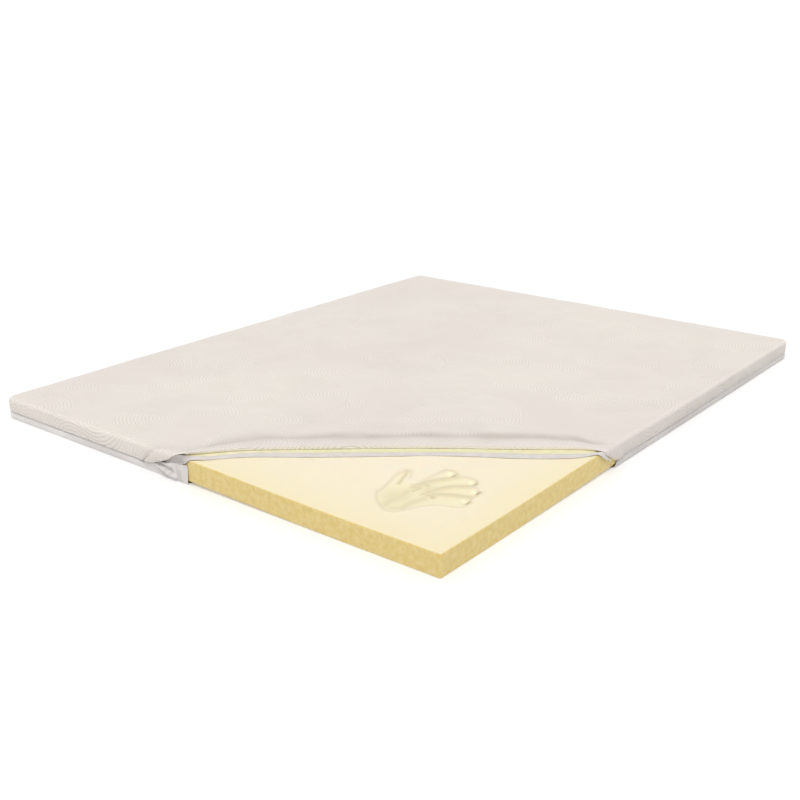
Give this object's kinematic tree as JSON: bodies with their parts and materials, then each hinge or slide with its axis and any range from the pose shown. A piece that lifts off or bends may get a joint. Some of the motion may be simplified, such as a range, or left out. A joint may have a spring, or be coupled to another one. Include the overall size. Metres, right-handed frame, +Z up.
{
  "type": "foam mattress topper in a zip-off cover, one corner unzipped",
  "caption": "Foam mattress topper in a quilted knit cover, with one corner unzipped and turned back to bare the foam.",
  "frame": {"origin": "on the floor, under the middle of the topper's outline", "axes": "+X along the topper's length, +Y across its width, +Z up; the bared corner is at -X, -Y"},
  "size_m": [2.0141, 1.6144, 0.0753],
  "materials": {
    "foam": "matt open-cell foam",
    "quilted_knit": "matt quilted knit with a low ripple",
    "plain_knit": "matt plain knit",
    "zip_tape": "woven tape with small plastic teeth"
  },
  "bodies": {
    "root": {"foam_core": "foam", "cover_top": "quilted_knit", "cover_base": "plain_knit", "zip_closed": "zip_tape", "zip_open_tape": "zip_tape"}
  },
  "joints": []
}
